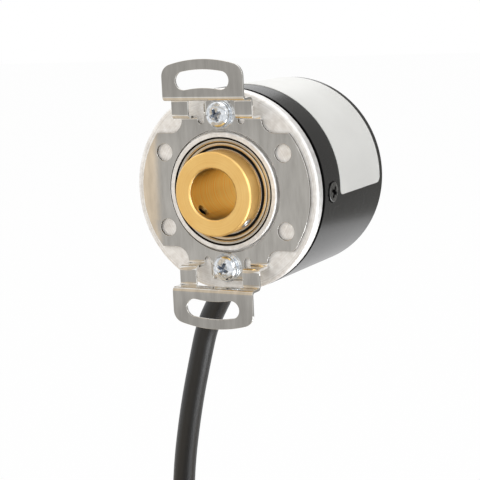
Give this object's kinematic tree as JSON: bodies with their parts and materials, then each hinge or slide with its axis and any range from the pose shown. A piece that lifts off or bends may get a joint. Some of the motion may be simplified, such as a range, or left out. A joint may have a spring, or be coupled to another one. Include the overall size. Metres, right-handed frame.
{
  "type": "hollow shaft rotary encoder",
  "caption": "Round hollow shaft rotary encoder with a brass collar, folded spring bracket, black rear cover, bare label and side cable.",
  "frame": {"origin": "centre of the mouth of the shaft's blind bore, on the shaft axis, in the collar's front face", "axes": "-Y out of the bore towards the motor, +Y along the shaft axis towards the rear cover, +Z towards the bracket's top ear"},
  "size_m": [0.0756, 0.0804, 0.1391],
  "materials": {
    "stainless": "satin",
    "zinc": "bright zinc",
    "flange_aluminium": "turned, satin",
    "bearing_steel": "ground",
    "steel_plate": "satin",
    "brass": "turned, bright",
    "cover_black": "satin black coating",
    "black_screws": "black oxide",
    "black_plastic": "matte",
    "white_plastic": "moulded",
    "board_green": "solder mask",
    "black_rubber": "matte",
    "label_silver": "satin silver foil",
    "cable_sheath": "smooth sheath",
    "lead_insulation": "insulation, one colour per lead",
    "copper": "tinned copper strand",
    "clear_lens": "clear resin"
  },
  "bodies": {
    "housing": {"leaf_bracket": "stainless", "bracket_screws": "zinc", "bracket_washers": "zinc", "mounting_flange": "flange_aluminium", "front_bearing_outer_ring": "bearing_steel", "front_bearing_shields": "bearing_steel", "front_bearing_seals": "black_rubber", "rear_bearing_outer_ring": "bearing_steel", "rear_bearing_shields": "bearing_steel", "rear_bearing_seals": "black_rubber", "led_holder": "black_plastic", "led": "black_plastic", "led_lens": "clear_lens", "sensor_holder": "black_plastic", "mask_plate": "steel_plate", "photo_sensor": "black_plastic", "circuit_board": "board_green", "board_standoffs": "brass", "board_screws": "zinc", "board_chips": "black_plastic", "board_capacitors": "flange_aluminium", "wire_connector": "white_plastic", "rear_cover": "cover_black", "cover_screws": "black_screws", "cover_gasket": "black_rubber", "nameplate_label": "label_silver", "cable_grommet": "black_rubber", "cable_coil": "cable_sheath", "cable_tube": "cable_sheath", "cable_leads": "lead_insulation", "lead_cores": "copper", "cable_tie": "black_plastic", "cable_ferrule": "zinc", "inner_wires": "lead_insulation"},
    "shaft": {"hollow_shaft": "brass", "shaft_set_screws": "black_screws", "front_bearing_inner_ring": "bearing_steel", "rear_bearing_inner_ring": "bearing_steel", "bearing_spacer": "steel_plate", "spring_washer": "steel_plate", "retaining_ring": "steel_plate", "disc_hub": "flange_aluminium", "code_disc": "steel_plate", "disc_clamp_ring": "flange_aluminium", "disc_screws": "zinc"},
    "front_cage": {"front_bearing_balls": "bearing_steel", "front_bearing_cage": "steel_plate"},
    "rear_cage": {"rear_bearing_balls": "bearing_steel", "rear_bearing_cage": "steel_plate"}
  },
  "joints": [
    {"name": "shaft_spin", "type": "hinge", "parent": "housing", "child": "shaft", "pos_m": [0, 0, 0], "axis": [0, 1, 0], "continuous": true},
    {"name": "front_cage_spin", "type": "hinge", "parent": "housing", "child": "front_cage", "pos_m": [0, 0.0062, 0], "axis": [0, 1, 0], "continuous": true},
    {"name": "rear_cage_spin", "type": "hinge", "parent": "housing", "child": "rear_cage", "pos_m": [0, 0.0142, 0], "axis": [0, 1, 0], "continuous": true}
  ],
  "couplings": [
    {"joint": "front_cage_spin", "follows": "shaft_spin", "ratio": 0.45556},
    {"joint": "rear_cage_spin", "follows": "shaft_spin", "ratio": 0.45556}
  ]
}
